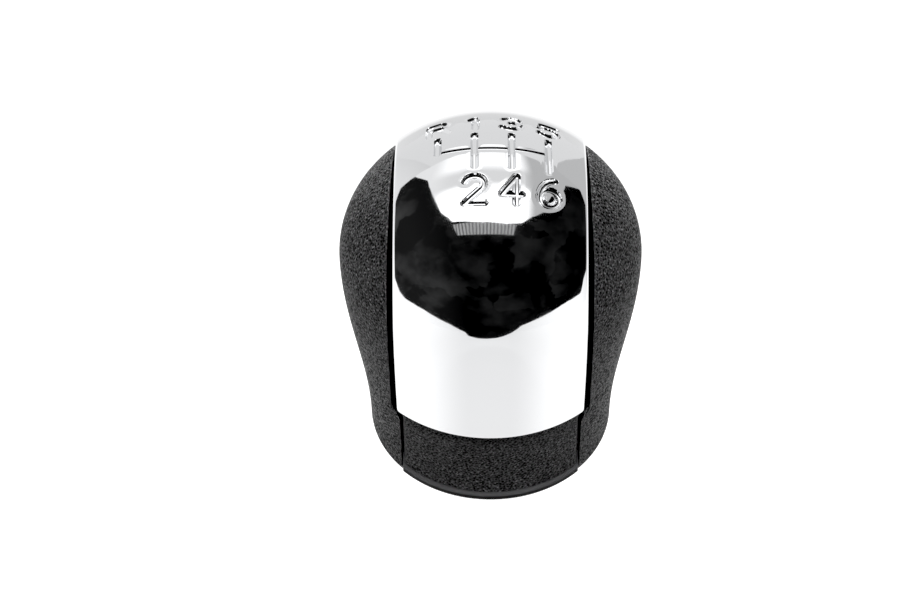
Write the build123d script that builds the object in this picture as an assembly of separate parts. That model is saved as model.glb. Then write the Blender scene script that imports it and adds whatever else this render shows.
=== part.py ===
from build123d import *
from math import acos, cos, degrees, hypot, radians, sin, sqrt
import os

# Gear shift knob: a round body with a polished strap cover over its top and front, a grained grip shell
# at each side, and a moulded frame between them that holds the lever's sleeve. Millimetres, +Z up, the
# front towards -Y, and the origin at the centre of the foot.

# Outer form: a neck that flares from the foot into an elliptical dome
base_radius = 23.0
head_radius = 27.5
head_height = 43.5
dome_height = 21.5
neck_low_pull = 18.0
neck_high_pull = 13.5
crown_flat = 0.5

# Chrome cover
cover_width = 34.4
cover_thickness = 2.0
cover_proud = 0.8
cover_front_height = 20.3
cover_rear_height = 44.0
cover_corner = 0.8
cover_edge_round = 0.9

# Stakes that hold the cover: one pair behind the apex, one pair in front
stake_radius = 1.1
stake_head_radius = 2.0
stake_head_height = 1.0
stake_spread = 9.0
stake_rear = 5.0
stake_front_height = 31.0
stake_boss_margin = 0.6

# Frame
panel_width = 32.5
panel_recess = 0.6
panel_tuck = 3.0
strap_inset = 1.4
frame_wall = 2.6
foot_lip_height = 1.2
foot_lip_proud = 0.25
foot_lip_round = 0.3
web_thickness = 2.0
cross_web_height = 34.0
tube_wall = 2.2
tube_cap = 2.0

# Grip shells
shell_wall = 2.5
shell_edge_round = 0.4
jog_slope = 1.5
jog_ease = 2.5
tab_thickness = 2.5
tab_length = 18.0

# Base plate and its screws
plate_recess = 0.6
plate_thickness = 2.4
screw_angle = 21.0
screw_edge = 0.5
screw_radius = 1.0
screw_head_radius = 2.2
screw_head_height = 1.2
screw_grip = 5.0
screw_cross_width = 0.6
screw_cross_depth = 0.6
boss_radius = 2.6
boss_height = 6.5

# Lever sleeve and its retaining clip
bore_radius = 6.0
bore_chamfer = 0.5
sleeve_wall = 2.0
sleeve_top = 36.0
collar_width = 1.6
collar_thickness = 1.2
clip_height = 22.0
clip_band = 2.0
clip_thickness = 0.9
clip_opening = 7.0
tongue_width = 2.6
tongue_height = 1.4

# Clearances
cover_gap = 1.2
cover_seat = 0.05
seam_gap = 0.45
foot_gap = 0.15
lip_clearance = 0.2
stake_clearance = 0.1
plate_clearance = 0.2
screw_clearance = 0.2
pilot_clearance = 0.05
sleeve_clearance = 0.05
clip_clearance = 0.05
window_clearance = 0.2
end_clearance = 0.2

# Half widths and insets that follow from these
cover_half = cover_width / 2
cover_inner = cover_thickness - cover_proud
panel_half = panel_width / 2
strap_half = panel_half - strap_inset
strap_outer = cover_inner + cover_seat
frame_inner = panel_recess + frame_wall
strap_front_height = cover_front_height + panel_tuck
strap_rear_height = cover_rear_height + panel_tuck
seam_half = panel_half + seam_gap
foot_lip_half = seam_half - foot_gap
rebate_half = cover_half + cover_gap
lip_outer = cover_inner + lip_clearance
lip_half = strap_half + lip_clearance
jog_height = jog_ease + jog_slope * abs(rebate_half - seam_half)

# Levels and radii inside the foot
plate_top = plate_recess + plate_thickness
collar_top = plate_top + collar_thickness
tube_low = collar_top + end_clearance
sleeve_radius = bore_radius + sleeve_wall
tube_bore = sleeve_radius + sleeve_clearance
tube_radius = tube_bore + tube_wall
collar_radius = sleeve_radius + collar_width
foot_radius = base_radius - frame_inner - plate_clearance
pilot_radius = screw_radius + pilot_clearance
screw_circle = foot_radius - screw_head_radius - screw_clearance - screw_edge
screw_x = screw_circle * cos(radians(screw_angle))
screw_y = screw_circle * sin(radians(screw_angle))
groove_radius = sleeve_radius - clip_thickness - 2 * clip_clearance
stake_boss_radius = stake_head_radius + stake_boss_margin
screw_places = [(sx * screw_x, sy * screw_y) for sx in (-1, 1) for sy in (-1, 1)]

# Far enough to cut right through the part
reach = 4 * (head_radius + head_height + dome_height)


def form(inset):
    """The knob's outer form as a solid, moved inwards by inset."""
    foot = base_radius - inset
    head = head_radius - inset
    crown = dome_height - inset
    neck = Bezier((foot, 0), (foot, neck_low_pull), (head, head_height - neck_high_pull), (head, head_height))
    dome = EllipticalCenterArc((0, head_height), head, crown, 0, arc_size=degrees(acos(crown_flat / head)))
    crown_line = Polyline(dome @ 1, (0, (dome @ 1).Y), (0, 0), (foot, 0))
    return revolve(Plane.YZ * make_face(neck + dome + crown_line), Axis.Z)


def layer(outer, inner):
    """The wall of the form between two insets."""
    return form(outer) - form(inner)


def block(x, y, z):
    """A box between pairs of limits."""
    size = Box(x[1] - x[0], y[1] - y[0], z[1] - z[0])
    return Pos((x[0] + x[1]) / 2, (y[0] + y[1]) / 2, (z[0] + z[1]) / 2) * size


def post(radius, low, high, x=0.0, y=0.0):
    """An upright cylinder between two heights."""
    return Pos(x, y, low) * Cylinder(radius, high - low, align=(Align.CENTER, Align.CENTER, Align.MIN))


def middle_zone(half_width, front_low, rear_low):
    """The space within half_width of the middle, above one height in front and another behind."""
    front = block((-half_width, half_width), (-reach, 0), (front_low, reach))
    rear = block((-half_width, half_width), (0, reach), (rear_low, reach))
    return front + rear


def foot_disc(side_radius, low, high):
    """A disc inside the frame's foot, wider at the sides where only the shells are."""
    sides = post(side_radius, low, high) - middle_zone(seam_half + plate_clearance, -reach, -reach)
    return post(foot_radius, low, high) + sides


def rim(part):
    """Edges round the outward curved faces of a wall."""
    outward = []
    for face in part.faces().filter_by(GeomType.REVOLUTION):
        middle = face.center()
        if face.normal_at(middle).dot(middle - Vector(0, 0, head_height / 2)) > 0:
            outward.append(face)
    edges = [edge for face in outward for edge in face.edges()]
    return [edge for edge in edges if sum(edge.is_same(other) for other in edges) == 1]


def dome_height_at(radius, inset):
    """Height of the dome, moved inwards by inset, at a distance from the axis."""
    share = radius / (head_radius - inset)
    return head_height + (dome_height - inset) * sqrt(1 - share ** 2)


def stake_planes():
    """Planes on the frame's inside where the stake heads sit, each with its normal pointing inwards."""
    reach_out = hypot(stake_spread, stake_rear) + stake_boss_radius
    top = dome_height_at(reach_out, frame_inner)
    front = sqrt((base_radius - frame_inner) ** 2 - (stake_spread + stake_boss_radius) ** 2)
    planes = []
    for side in (-1, 1):
        x = side * stake_spread
        planes.append(Plane((x, stake_rear, top), x_dir=(1, 0, 0), z_dir=(0, 0, -1)))
        planes.append(Plane((x, -front, stake_front_height), x_dir=(1, 0, 0), z_dir=(0, 1, 0)))
    return planes


def outward_post(radius):
    """A cylinder that runs outwards from a stake plane."""
    return Cylinder(radius, head_radius, align=(Align.CENTER, Align.CENTER, Align.MAX))


def make_cover():
    """The strap cover with its rounded edges and the stakes on its inside."""
    cover = layer(-cover_proud, cover_inner) & middle_zone(cover_half, cover_front_height, cover_rear_height)
    cover = fillet(cover.edges().filter_by(Axis.Y), cover_corner)
    cover = fillet(rim(cover), cover_edge_round)
    head = Cone(stake_head_radius, stake_radius, stake_head_height, align=(Align.CENTER, Align.CENTER, Align.MIN))
    within = form(cover_inner - cover_thickness / 2)
    for plane in stake_planes():
        cover += (plane * outward_post(stake_radius)) & within
        cover += plane * head
    return cover


def make_frame():
    """The spine: both panels with their foot lips, the strap under the cover, the tube and its webs."""
    panel_front = cover_front_height - lip_clearance
    panel_rear = cover_rear_height - lip_clearance
    whole = middle_zone(panel_half, 0, 0)
    panels = layer(panel_recess, frame_inner) & (whole - middle_zone(2 * panel_half, panel_front, panel_rear))
    tuck = whole - middle_zone(2 * panel_half, strap_front_height, strap_rear_height)
    strap = layer(strap_outer, frame_inner) & (tuck + middle_zone(strap_half, 0, 0))
    foot = block((-foot_lip_half, foot_lip_half), (-reach, reach), (0, foot_lip_height))
    lip = layer(-foot_lip_proud, frame_inner) & foot
    lip = fillet([edge for edge in rim(lip) if edge.center().Z > foot_lip_height / 2
                  and edge.length > foot_lip_height], foot_lip_round)
    fused_into = form((strap_outer + frame_inner) / 2)
    web = block((-web_thickness / 2, web_thickness / 2), (-reach, reach), (tube_low, reach))
    cross = block((-strap_half, strap_half), (-web_thickness / 2, web_thickness / 2), (cross_web_height, reach))
    tube_high = sleeve_top + end_clearance
    frame = panels + strap + lip + ((web + cross) & fused_into)
    frame += post(tube_radius, tube_low, tube_high + tube_cap)
    frame -= post(tube_bore, 0, tube_high)
    for plane in stake_planes():
        frame += (plane * outward_post(stake_boss_radius)) & fused_into
    for plane in stake_planes():
        frame -= plane * outward_post(stake_radius + stake_clearance)
    return frame


def side_face(low_edge, high_edge, low, high):
    """Upright face to the right of an edge line that jogs from one x to another between two heights."""
    middle = (low + high) / 2
    jog = Bezier((low_edge, low), (low_edge, middle), (high_edge, middle), (high_edge, high))
    rest = Polyline((high_edge, high), (high_edge, reach), (reach, reach), (reach, -reach), (low_edge, -reach),
                    (low_edge, low))
    return Plane.XZ * make_face(jog + rest)


def make_right_shell():
    """The right grip shell: its outer skin, the lip under the cover, and the foot tab with screw bosses."""
    zones = []
    for cover_low, strap_low, way in ((cover_front_height, strap_front_height, 1),
                                      (cover_rear_height, strap_rear_height, -1)):
        jog_low = cover_low - lip_clearance - jog_height / 2
        skin_face = side_face(seam_half, rebate_half, jog_low, jog_low + jog_height)
        lip_low = strap_low + lip_clearance
        step = block((lip_half, reach), (-reach, 0), (lip_low, reach))
        core = block((seam_half, reach), (-reach, 0), (-reach, lip_low)) + step
        zones.append((extrude(skin_face, way * reach), core if way > 0 else mirror(core, Plane.XZ)))
    skin = layer(0, lip_outer) & (zones[0][0] + zones[1][0])
    skin = fillet(rim(skin), shell_edge_round)
    core = layer(lip_outer, shell_wall) & (zones[0][1] + zones[1][1])
    shell = skin + core
    tab_start = tube_radius + lip_clearance
    tab = block((tab_start, reach), (-tab_length / 2, tab_length / 2), (plate_top, plate_top + tab_thickness))
    shell += tab & foot_disc(base_radius - (lip_outer + shell_wall) / 2, plate_top, plate_top + tab_thickness)
    for y in (-screw_y, screw_y):
        shell += post(boss_radius, plate_top, plate_top + boss_height, screw_x, y) & form(lip_outer)
        shell -= post(pilot_radius, plate_top, plate_top + screw_grip + end_clearance, screw_x, y)
    return shell


def make_plate():
    """The plate that closes the foot round the sleeve, with its screw holes."""
    plate = foot_disc(base_radius - shell_wall - plate_clearance, plate_recess, plate_top)
    plate -= post(sleeve_radius + plate_clearance, 0, plate_top)
    for x, y in screw_places:
        plate -= post(screw_radius + screw_clearance, 0, plate_top, x, y)
        plate -= post(screw_head_radius + screw_clearance, 0, plate_recess + screw_head_height, x, y)
    return plate


def make_screw():
    """One pan-head screw, its head seated in the plate and its shank in a boss."""
    seat = plate_recess + screw_head_height
    head = post(screw_head_radius, plate_recess, seat)
    head = fillet(head.edges().sort_by(Axis.Z)[0], screw_head_height / 2)
    cross = block((-screw_radius, screw_radius), (-screw_cross_width / 2, screw_cross_width / 2),
                  (plate_recess, plate_recess + screw_cross_depth))
    return head + post(screw_radius, seat, plate_top + screw_grip) - cross - Rot(0, 0, 90) * cross


def make_sleeve():
    """The lever's sleeve with its collar, the clip's groove and the windows for the clip's tongues."""
    sleeve = post(sleeve_radius, plate_recess, sleeve_top) + post(collar_radius, plate_top, collar_top)
    half_band = clip_band / 2 + clip_clearance
    groove = post(2 * sleeve_radius, clip_height - half_band, clip_height + half_band)
    sleeve -= groove - post(groove_radius, clip_height - half_band, clip_height + half_band)
    half_width = tongue_width / 2 + window_clearance
    half_height = tongue_height / 2 + window_clearance
    sleeve -= block((-sleeve_radius, sleeve_radius), (-half_width, half_width),
                    (clip_height - half_height, clip_height + half_height))
    sleeve -= post(bore_radius, 0, sleeve_top)
    mouth = sleeve.edges().filter_by(GeomType.CIRCLE).group_by(Axis.Z)[0].sort_by(SortBy.RADIUS)[0]
    return chamfer(mouth, bore_chamfer)


def make_clip():
    """The open spring ring in the sleeve's groove, with a tongue at each side that ends at the bore."""
    low = clip_height - clip_band / 2
    high = clip_height + clip_band / 2
    inner = groove_radius + clip_clearance
    outer = inner + clip_thickness
    ring = post(outer, low, high) - post(inner, low, high)
    ring -= block((-clip_opening / 2, clip_opening / 2), (-reach, 0), (low, high))
    tongue = block((bore_radius + clip_clearance, (inner + outer) / 2), (-tongue_width / 2, tongue_width / 2),
                   (clip_height - tongue_height / 2, clip_height + tongue_height / 2))
    return ring + tongue + mirror(tongue, Plane.YZ)


right_shell = make_right_shell()
screw = make_screw()
parts = {
    "chrome_cover": make_cover(),
    "center_frame": make_frame(),
    "right_grip_shell": right_shell,
    "left_grip_shell": mirror(right_shell, Plane.YZ),
    "base_plate": make_plate(),
    "base_screws": Compound([Pos(x, y, 0) * screw for x, y in screw_places]),
    "lever_sleeve": make_sleeve(),
    "retaining_clip": make_clip(),
}

os.makedirs("parts", exist_ok=True)
for name, part in parts.items():
    export_step(part, f"parts/{name}.step")
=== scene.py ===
"""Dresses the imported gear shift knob: an engraved chrome strap, leather-grained grips and a small studio.

Lengths are in millimetres until a finished mesh is scaled to metres. The frame is the part's own: +Z up
the lever, -Y towards the driver, and the origin at the middle of the foot.
"""

from __future__ import annotations

import logging
import math
from dataclasses import dataclass, field
from enum import Enum
from typing import Any

import bmesh
import bpy
import numpy as np
from bmesh.types import BMEdge, BMesh, BMVert
from bpy.types import ID, Light, Material, Node, NodeSocket, Object, World
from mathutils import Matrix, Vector, kdtree, noise

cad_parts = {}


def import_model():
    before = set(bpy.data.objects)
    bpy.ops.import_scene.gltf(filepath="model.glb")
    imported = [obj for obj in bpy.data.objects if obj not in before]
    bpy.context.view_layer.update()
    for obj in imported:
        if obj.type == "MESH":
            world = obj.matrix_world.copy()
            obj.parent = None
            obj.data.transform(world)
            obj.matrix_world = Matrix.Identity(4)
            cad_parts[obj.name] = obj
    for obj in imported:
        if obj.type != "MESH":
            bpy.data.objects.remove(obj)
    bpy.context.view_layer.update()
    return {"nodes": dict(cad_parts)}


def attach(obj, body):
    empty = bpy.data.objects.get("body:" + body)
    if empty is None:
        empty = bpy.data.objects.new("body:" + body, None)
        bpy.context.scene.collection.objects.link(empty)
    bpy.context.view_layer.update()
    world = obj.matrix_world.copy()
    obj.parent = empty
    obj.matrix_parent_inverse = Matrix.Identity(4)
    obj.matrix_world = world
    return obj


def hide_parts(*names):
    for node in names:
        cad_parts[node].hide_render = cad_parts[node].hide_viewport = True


Array = np.ndarray
Colour = tuple[float, float, float]
Place = tuple[float, float, float]
Pair = tuple[float, float]
Outline = list[Pair]

LOG = logging.getLogger("gear_shift_knob")
MM = 0.001
FAR = 1e3
TINY = 1e-9
BODY = "root"
# The grain's pit depth, also set full on the grip walls beside the strap, where its dark colour is painted
# shade.
PIT_AND_SHADE = "pit"
SOFT = "SMOOTHSTEP"
WHITE = (1.0, 1.0, 1.0, 1.0)
BLACK = (0.0, 0.0, 0.0, 1.0)


class Side(Enum):
    """Which half of the grip a shell is, as the sign of its x."""

    LEFT = -1
    RIGHT = 1


class Face(Enum):
    """Which way a panel of the middle frame looks, as the sign of its y."""

    FRONT = -1
    REAR = 1


def ease(value: Array) -> Array:
    """Goes from 0 to 1 with flat ends, and holds outside them."""
    held = np.clip(value, 0.0, 1.0)
    return held * held * (3.0 - 2.0 * held)


def safe_root(value: Array) -> Array:
    """The square root, or nothing for a number below zero."""
    return np.sqrt(np.clip(value, 0.0, None))


def in_rows(*parts: Array) -> Array:
    """Points, one row each, from lists of their coordinates."""
    return np.stack(parts, axis=1)


def run_length(line: Array) -> Array:
    """The length along a line of points, up to each of them."""
    return np.concatenate([[0.0], np.cumsum(np.linalg.norm(np.diff(line, axis=0), axis=1))])


def points_along(line: Array, ruler: Array, way: Array) -> Array:
    """Points at given ways along a flat line of points, whose own ways the ruler gives."""
    return in_rows(np.interp(way, ruler, line[:, 0]), np.interp(way, ruler, line[:, 1]))


def quarter_round(distance: Array, radius: float) -> Array:
    """How far a rounded edge drops below its face, at each distance from the border across the face."""
    short = np.clip(radius - distance, 0.0, radius)
    return radius - np.sqrt(radius * radius - short * short)


def graded(length: float, count: int, edge: float, edge_steps: int) -> Array:
    """Places along a length that crowd together over its rounded ends.

    Args:
        length: The whole length.
        count: How many even steps lie between the two rounded ends.
        edge: The length of each rounded end.
        edge_steps: How many steps a rounded end has.

    Returns:
        The places, from 0 to the length.
    """
    turn = np.linspace(0.0, math.pi / 2, edge_steps + 1)
    start = edge * (1.0 - np.cos(turn))
    middle = np.linspace(edge, length - edge, count + 1)[1:-1]
    return np.concatenate([start, middle, length - start[::-1]])


@dataclass(frozen=True)
class KnobForm:
    """The turned form that every outer wall follows, given by how far it lies inside it."""

    base_radius: float = 23.0
    head_radius: float = 27.49
    head_height: float = 43.5
    dome_height: float = 21.5
    neck_low_pull: float = 18.0
    neck_high_pull: float = 13.5
    crown_march: float = 1.5
    table_steps: int = 4001

    def neck_radius(self, z: Array) -> Array:
        """The radius of the neck's smooth curve at each height."""
        t = np.linspace(0.0, 1.0, self.table_steps)
        low, high = self.neck_low_pull, self.head_height - self.neck_high_pull
        height = 3 * (1 - t) ** 2 * t * low + 3 * (1 - t) * t**2 * high + t**3 * self.head_height
        radius = self.base_radius + (self.head_radius - self.base_radius) * (3 * t**2 - 2 * t**3)
        return np.interp(z, height, radius)

    def radius_at(self, z: Array, inset: Array | float = 0.0) -> Array:
        """The radius at each height, on the neck and on the dome.

        Args:
            z: Heights above the foot.
            inset: How far the wall lies inside the outer form.

        Returns:
            The radius of that wall at each height.
        """
        crown = self.dome_height - inset
        rise = np.clip((z - self.head_height) / crown, 0.0, 1.0)
        dome = (self.head_radius - inset) * np.sqrt(1.0 - rise * rise)
        return np.where(z < self.head_height, self.neck_radius(z) - inset, dome)

    def dome_points(self, x: Array, turn: Array, inset: Array | float) -> tuple[Array, Array]:
        """Points of lanes over the dome.

        Args:
            x: Each lane's distance from the middle.
            turn: The turn over the dome, from the front.
            inset: How far each point lies inside the outer form.

        Returns:
            The y and z of each point.
        """
        head, crown = self.head_radius - inset, self.dome_height - inset
        narrow = np.sqrt(1.0 - (x / head) ** 2)
        return -head * narrow * np.cos(turn), self.head_height + crown * narrow * np.sin(turn)

    def lane_points(self, x: Array, march: Array, inset: Array | float) -> Array:
        """Points along lanes that run from the foot, up the front, over the dome and down behind.

        Args:
            x: Each lane's distance from the middle.
            march: The way along the lane: 0 to 1 up the neck, and 1 to 2 over the dome.
            inset: How far each point lies inside the outer form.

        Returns:
            The points, one row each.
        """
        z_neck = np.clip(march, 0.0, 1.0) * self.head_height
        y_neck = -safe_root((self.neck_radius(z_neck) - inset) ** 2 - x * x)
        y_dome, z_dome = self.dome_points(x, (march - 1.0) * math.pi, inset)
        on_neck = march < 1.0
        return in_rows(x, np.where(on_neck, y_neck, y_dome), np.where(on_neck, z_neck, z_dome))

    def lane_ruler(self, inset: float) -> tuple[Array, Array]:
        """A ruler along the middle lane.

        Args:
            inset: How far the ruler lies inside the outer form.

        Returns:
            The arc from the crown, positive towards the rear, and the march at each mark.
        """
        march = np.linspace(0.0, 2.0, 2 * self.table_steps)
        arc = run_length(self.lane_points(np.zeros_like(march), march, inset))
        return arc - np.interp(self.crown_march, march, arc), march


@dataclass(frozen=True)
class LeatherGrain:
    """The moulded leather grain: small pits of uneven outline, spread evenly in a network of land."""

    spacing: float = 0.54
    radius: float = 0.32
    radius_spread: float = 0.04
    slope: float = 0.3
    waver: float = 0.07
    waver_pitch: float = 0.5
    depth: float = 0.13
    seed: int = 0

    def seats(self, points: Array) -> list[Vector]:
        """Picks the middles of the pits.

        Args:
            points: Points on the smooth surface, one row each.

        Returns:
            Points of the surface, none nearer to another than the spacing.
        """
        near = [(i, j, k) for i in (-1, 0, 1) for j in (-1, 0, 1) for k in (-1, 0, 1)]
        kept: dict[tuple[int, int, int], list[Vector]] = {}
        order = np.random.default_rng(self.seed).permutation(len(points))
        for point in points[order].tolist():
            place = Vector(point)
            i, j, k = (math.floor(c / self.spacing) for c in point)
            others = (seat for a, b, c in near for seat in kept.get((i + a, j + b, k + c), ()))
            if all((seat - place).length_squared >= self.spacing**2 for seat in others):
                kept.setdefault((i, j, k), []).append(place)
        return [seat for seats in kept.values() for seat in seats]

    def pits_at(self, points: Array) -> Array:
        """How deep in a pit each point is.

        Args:
            points: Points on the smooth surface, one row each.

        Returns:
            From 0 on the land between pits to 1 at the bottom of a pit.
        """
        seats = self.seats(points)
        tree = kdtree.KDTree(len(seats))
        for index, seat in enumerate(seats):
            tree.insert(seat, index)
        tree.balance()
        sizes = np.random.default_rng(self.seed + 1).normal(self.radius, self.radius_spread, len(seats))
        short = np.empty(len(points))
        for index, point in enumerate(points.tolist()):
            _, pit, distance = tree.find(point)
            wander = self.waver * noise.noise(Vector(point) / self.waver_pitch)
            short[index] = sizes[pit] - distance + wander
        return ease(short / self.slope)


class NodeBench:
    """The nodes of a new material or world, with short ways to add them and join them."""

    def __init__(self, owner: Material | World) -> None:
        """Starts with only the shader that a new material or world has."""
        owner.use_nodes = True
        self.owner = owner
        self.tree = owner.node_tree
        self.shader = next(n for n in self.tree.nodes if n.type in ("BSDF_PRINCIPLED", "BACKGROUND"))

    def add(self, kind: str, inputs: dict[Any, Any] | None = None, **settings: Any) -> Node:
        """Adds a node.

        Args:
            kind: Blender's name for the node's type.
            inputs: Values for its sockets, by name or place.
            settings: Values for the node's own settings.

        Returns:
            The node.
        """
        node = self.tree.nodes.new(kind)
        for key, value in settings.items():
            setattr(node, key, value)
        for key, value in (inputs or {}).items():
            node.inputs[key].default_value = value
        return node

    def join(self, source: NodeSocket, target: NodeSocket) -> None:
        """Links one socket to another."""
        self.tree.links.new(source, target)

    def surface(self, **values: Any) -> None:
        """Sets values on the shader's own sockets, with _ for a space in a name."""
        for key, value in values.items():
            self.shader.inputs[key.replace("_", " ")].default_value = value

    def feed(self, **sockets: NodeSocket) -> None:
        """Links patterns to the shader's sockets, with _ for a space in a name."""
        for key, socket in sockets.items():
            self.join(socket, self.shader.inputs[key.replace("_", " ")])

    def glow_only(self) -> None:
        """Makes the surface one that only glows, with no colour or shine of its own."""
        self.surface(Base_Color=BLACK, Specular_IOR_Level=0.0, Roughness=1.0, Emission_Color=WHITE)

    def place(self) -> NodeSocket:
        """The piece's own coordinates, in metres."""
        return self.add("ShaderNodeTexCoord").outputs["Object"]

    def axis(self, name: str) -> NodeSocket:
        """One of the piece's own coordinates, in metres."""
        parts = self.add("ShaderNodeSeparateXYZ")
        self.join(self.place(), parts.inputs[0])
        return parts.outputs[name]

    def reach(self) -> NodeSocket:
        """The distance from the knob's foot, in metres."""
        out = self.add("ShaderNodeVectorMath", operation="LENGTH")
        self.join(self.place(), out.inputs[0])
        return out.outputs["Value"]

    def stretched(self, scale: Place) -> NodeSocket:
        """The piece's own coordinates, scaled along each axis."""
        node = self.add("ShaderNodeMapping", {"Scale": scale})
        self.join(self.place(), node.inputs["Vector"])
        return node.outputs["Vector"]

    def noise(self, scale: float, detail: float = 2.0, at: NodeSocket | None = None) -> NodeSocket:
        """A noise pattern.

        Args:
            scale: Waves to the metre.
            detail: How many finer layers it has.
            at: The coordinates that it reads, or the piece's own.

        Returns:
            Its value from 0 to 1.
        """
        node = self.add("ShaderNodeTexNoise", {"Scale": scale, "Detail": detail})
        self.join(at or self.place(), node.inputs["Vector"])
        return node.outputs["Fac"]

    def between(
        self,
        value: NodeSocket,
        low: float,
        high: float,
        start: float = 0.3,
        end: float = 0.7,
        kind: str = "LINEAR",
    ) -> NodeSocket:
        """Turns a pattern into a number between two limits.

        Args:
            value: The pattern.
            low: The number at the pattern's start.
            high: The number at the pattern's end.
            start: The pattern's value where the change starts.
            end: The pattern's value where the change ends.
            kind: Blender's name for how it changes.

        Returns:
            The number.
        """
        limits = {"From Min": start, "From Max": end, "To Min": low, "To Max": high}
        node = self.add("ShaderNodeMapRange", limits, interpolation_type=kind)
        self.join(value, node.inputs["Value"])
        return node.outputs["Result"]

    def sum(self, one: NodeSocket, other: NodeSocket, kind: str = "ADD") -> NodeSocket:
        """Works out a number from two others.

        Args:
            one: The first number.
            other: The second number.
            kind: Blender's name for the sum.

        Returns:
            The number.
        """
        node = self.add("ShaderNodeMath", operation=kind)
        for value, socket in zip((one, other), node.inputs):
            self.join(value, socket)
        return node.outputs[0]

    def by_turn(self, share: float, start: float, end: float) -> NodeSocket:
        """A number that goes from 1 straight before and behind the knob to a share beside it.

        Args:
            share: The number beside the knob.
            start: The sine of the turn at which the change starts.
            end: The sine of the turn at which it ends.

        Returns:
            The number.
        """
        aside = self.add("ShaderNodeMath", operation="ABSOLUTE")
        self.join(self.axis("X"), aside.inputs[0])
        turn = self.sum(aside.outputs[0], self.reach(), "DIVIDE")
        return self.between(turn, 1.0, share, start, end, SOFT)

    def colours(self, value: NodeSocket, stops: list[tuple[float, Colour]]) -> NodeSocket:
        """Turns a pattern into a colour.

        Args:
            value: The pattern.
            stops: Places along the pattern and the colour at each.

        Returns:
            The colour.
        """
        node = self.add("ShaderNodeValToRGB")
        ramp = node.color_ramp
        while len(ramp.elements) < len(stops):
            ramp.elements.new(0.5)
        for element, (position, colour) in zip(ramp.elements, stops):
            element.position, element.color = position, (*colour, 1.0)
        self.join(value, node.inputs["Fac"])
        return node.outputs["Color"]

    def bump(self, heights: list[tuple[NodeSocket, float, float]]) -> None:
        """Gives the surface fine relief.

        Args:
            heights: Each pattern, its strength and its height in metres.
        """
        normal = None
        for value, strength, height in heights:
            node = self.add("ShaderNodeBump", {"Strength": strength, "Distance": height})
            self.join(value, node.inputs["Height"])
            if normal is not None:
                self.join(normal, node.inputs["Normal"])
            normal = node.outputs["Normal"]
        self.feed(Normal=normal)


def new_bench(name: str) -> NodeBench:
    """The nodes of a new material."""
    return NodeBench(bpy.data.materials.new(name))


@dataclass(frozen=True)
class PolishedChrome:
    """Bright plated chrome with the faint waves and wiping marks of a moulded part."""

    tint: Colour = (0.72, 0.725, 0.735)
    gloss: float = 0.035
    haze: float = 0.075
    wipe: Place = (1.0, 0.25, 0.25)

    def material(self) -> Material:
        """Makes the material."""
        bench = new_bench("polished_chrome")
        bench.surface(Metallic=1.0, Base_Color=(*self.tint, 1.0))
        smear = bench.noise(420.0, 6.0, bench.stretched(self.wipe))
        bench.feed(Roughness=bench.between(smear, self.gloss, self.haze, 0.35, 0.75))
        bench.bump([(bench.noise(130.0, 1.0), 0.05, 0.0004), (bench.noise(2600.0, 3.0), 0.02, 0.00003)])
        return bench.owner


@dataclass(frozen=True)
class GrainedPlastic:
    """Black moulded plastic whose leather grain has darker pits, and land with painted bright glints that
    stand in for highlights; its pit colour also paints shade on the grip walls beside the strap.
    """

    colour: Colour = (0.06, 0.06, 0.061)
    # The pits' colour, which also paints shade on the grip walls beside the strap.
    pit_and_shade_colour: Colour = (0.004, 0.004, 0.004)
    # Painted glints: the land's colour at spots of a fine pattern, up to four times as bright.
    painted_glints: tuple[tuple[float, float], ...] = ((0.38, 0.86), (0.52, 1.22), (0.69, 4.0))
    painted_glint_scale: float = 3000.0
    speck_scale: float = 2300.0
    speck_share: float = 0.8
    land_roughness: float = 0.4
    pit_roughness: float = 0.75
    specular: float = 0.05

    def material(self) -> Material:
        """Makes the material."""
        bench = new_bench("grained_black_plastic")
        pit = bench.add("ShaderNodeAttribute", attribute_name=PIT_AND_SHADE).outputs["Fac"]
        stops = [(place, tuple(share * c for c in self.colour)) for place, share in self.painted_glints]
        speck = bench.between(bench.noise(self.speck_scale, 3.0), self.speck_share, 0.0, 0.36, 0.6)
        mix = bench.add("ShaderNodeMix", {7: (*self.pit_and_shade_colour, 1.0)}, data_type="RGBA")
        # The pit value darkens the pits, and the grip walls beside the strap, whose dark is painted shade.
        bench.join(bench.sum(bench.between(pit, 0.0, 1.0, 0.08, 0.8), speck), mix.inputs["Factor"])
        # Land brightens up to four times its colour in spots: painted glints standing in for highlights.
        bench.join(bench.colours(bench.noise(self.painted_glint_scale, 2.0), stops), mix.inputs[6])
        roughness = bench.between(pit, self.land_roughness, self.pit_roughness, 0.0, 0.7)
        bench.feed(Base_Color=mix.outputs[2], Roughness=roughness)
        bench.surface(Specular_IOR_Level=self.specular)
        bench.bump([(bench.noise(2300.0, 3.0), 0.6, 0.00007), (bench.noise(6200.0, 2.0), 0.3, 0.00002)])
        return bench.owner


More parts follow.
